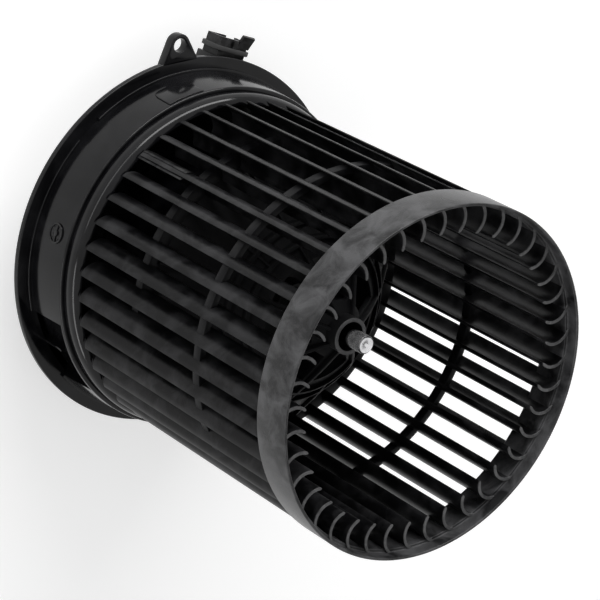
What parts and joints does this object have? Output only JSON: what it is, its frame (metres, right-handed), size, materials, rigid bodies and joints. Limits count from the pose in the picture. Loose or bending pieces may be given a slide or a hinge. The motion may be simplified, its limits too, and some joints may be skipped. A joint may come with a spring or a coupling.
{
  "type": "car cabin blower motor",
  "caption": "Cabin heater blower: tall cage fan wheel on the shaft of a brushed motor, carried by a round mounting flange with a bell-mouth lip, fixing ear and rear connector.",
  "frame": {"origin": "centre of the rear cover's flat outer face, on the motor shaft's axis", "axes": "+Z along the shaft from the rear cover to the fan's open mouth, +Y to the fixing ear"},
  "size_m": [0.169, 0.1804, 0.2065],
  "materials": {
    "wheel_plastic": "satin",
    "flange_plastic": "semi-gloss",
    "connector_plastic": "satin",
    "plate_plastic": "satin",
    "ground_steel": "ground",
    "spring_steel": "satin",
    "plated_steel": "zinc plated",
    "screw_steel": "zinc plated",
    "bronze": "sintered",
    "rubber": "matte",
    "ferrite": "matte",
    "laminations": "stacked",
    "copper": "enamelled",
    "brass": "satin",
    "carbon": "matte",
    "fibre": "matte"
  },
  "bodies": {
    "motor_body": {"mounting_flange": "flange_plastic", "rear_cover": "flange_plastic", "connector_housing": "connector_plastic", "brush_plate": "plate_plastic", "front_bearing_retainer": "spring_steel", "rear_bearing_retainer": "spring_steel", "magnet_clip_front": "spring_steel", "magnet_clip_back": "spring_steel", "brush_spring_left": "spring_steel", "brush_spring_right": "spring_steel", "motor_can": "plated_steel", "cover_screws": "screw_steel", "front_bearing": "bronze", "rear_bearing": "bronze", "front_damper": "rubber", "rear_damper": "rubber", "connector_grommet": "rubber", "magnet_left": "ferrite", "magnet_right": "ferrite", "choke_front": "copper", "choke_back": "copper", "brush_box_left": "brass", "brush_box_right": "brass", "busbar_positive": "brass", "busbar_negative": "brass"},
    "fan": {"fan_wheel": "wheel_plastic", "balance_clip": "spring_steel", "motor_shaft": "ground_steel", "hub_clip": "spring_steel", "armature_core": "laminations", "armature_windings": "copper", "commutator": "copper", "thrust_washers": "fibre"},
    "brush_left": {"brush_left": "carbon"},
    "brush_right": {"brush_right": "carbon"}
  },
  "joints": [
    {"name": "fan_spin", "type": "hinge", "parent": "motor_body", "child": "fan", "pos_m": [0, 0, 0.1], "axis": [0, 0, 1], "continuous": true},
    {"name": "brush_left_slide", "type": "slide", "parent": "motor_body", "child": "brush_left", "axis": [-0.9239, 0.3827, 0], "range_m": [0, 0.003], "stiffness_N_per_m": 120, "springref_m": -0.004, "deforming": ["brush_spring_left"]},
    {"name": "brush_right_slide", "type": "slide", "parent": "motor_body", "child": "brush_right", "axis": [0.9239, -0.3827, 0], "range_m": [0, 0.003], "stiffness_N_per_m": 120, "springref_m": -0.004, "deforming": ["brush_spring_right"]}
  ]
}
